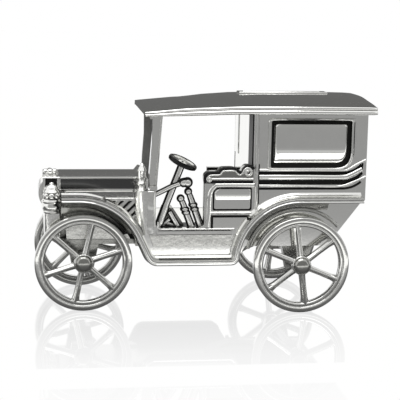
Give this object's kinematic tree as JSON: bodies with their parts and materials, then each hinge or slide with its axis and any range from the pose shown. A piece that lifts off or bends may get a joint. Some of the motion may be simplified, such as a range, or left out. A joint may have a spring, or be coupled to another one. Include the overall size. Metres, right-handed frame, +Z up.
{
  "type": "model car money box",
  "caption": "Silver-plated cast model of an early chauffeur-driven limousine, made as a money box with rolling spoked wheels, a coin slot in its roof and a stopper in its base.",
  "frame": {"origin": "on the ground plane, midway along and across the whole model", "axes": "+X to the rear of the car, +Y to its right-hand side, +Z up"},
  "size_m": [0.1264, 0.0622, 0.0802],
  "materials": {
    "polished_silver": "bright silver plate, polished, black patina left in the grooves",
    "antiqued_silver": "silver plate with heavy black patina in the relief",
    "cast_silver": "silver plate over as-cast, unpolished surfaces",
    "wheel_silver": "bright silver plate, satin on the tread",
    "steel": "plain",
    "stopper": "matt black"
  },
  "bodies": {
    "car": {"base_plate": "cast_silver", "base_screws": "steel", "bonnet": "polished_silver", "brake_lever": "antiqued_silver", "bulkhead": "polished_silver", "coin_slot_rim": "polished_silver", "cowl_lamp": "antiqued_silver", "engine_bay": "cast_silver", "floor_plate": "cast_silver", "front_apron": "polished_silver", "front_axle": "steel", "front_axle_bracket": "cast_silver", "front_axle_caps": "wheel_silver", "front_struts": "cast_silver", "gear_lever": "antiqued_silver", "horn": "antiqued_silver", "left_body_side": "polished_silver", "left_headlamp": "antiqued_silver", "left_headlamp_lens": "antiqued_silver", "left_louvre_panel": "antiqued_silver", "left_seat_end": "antiqued_silver", "left_window_panel": "polished_silver", "left_wing": "polished_silver", "partition": "cast_silver", "pedals": "antiqued_silver", "radiator_cap": "antiqued_silver", "radiator_core": "antiqued_silver", "radiator_shell": "polished_silver", "rear_axle": "steel", "rear_axle_brackets": "cast_silver", "rear_axle_caps": "wheel_silver", "rear_panel": "polished_silver", "rear_window_panel": "polished_silver", "right_body_side": "polished_silver", "right_headlamp": "antiqued_silver", "right_headlamp_lens": "antiqued_silver", "right_louvre_panel": "antiqued_silver", "right_window_panel": "polished_silver", "right_wing": "polished_silver", "roof": "polished_silver", "scuttle": "antiqued_silver", "seat_back": "polished_silver", "seat_cushion": "polished_silver", "steering_column": "antiqued_silver", "steering_wheel": "antiqued_silver", "tail_panel": "polished_silver", "toe_box": "cast_silver", "windscreen_frame": "polished_silver"},
    "front_left_wheel": {"front_left_wheel": "wheel_silver"},
    "front_right_wheel": {"front_right_wheel": "wheel_silver"},
    "rear_left_wheel": {"rear_left_wheel": "wheel_silver"},
    "rear_right_wheel": {"rear_right_wheel": "wheel_silver"},
    "stopper": {"base_stopper": "stopper"}
  },
  "joints": [
    {"name": "front_left_wheel_spin", "type": "hinge", "parent": "car", "child": "front_left_wheel", "pos_m": [-0.0452, -0.0202, 0.018], "axis": [0, -1, 0], "continuous": true},
    {"name": "front_right_wheel_spin", "type": "hinge", "parent": "car", "child": "front_right_wheel", "pos_m": [-0.0452, 0.0202, 0.018], "axis": [0, -1, 0], "continuous": true},
    {"name": "rear_left_wheel_spin", "type": "hinge", "parent": "car", "child": "rear_left_wheel", "pos_m": [0.0352, -0.0275, 0.018], "axis": [0, -1, 0], "continuous": true},
    {"name": "rear_right_wheel_spin", "type": "hinge", "parent": "car", "child": "rear_right_wheel", "pos_m": [0.0352, 0.0275, 0.018], "axis": [0, -1, 0], "continuous": true},
    {"name": "stopper_pull", "type": "slide", "parent": "car", "child": "stopper", "axis": [0, 0, -1], "range_m": [0, 0.012]}
  ]
}
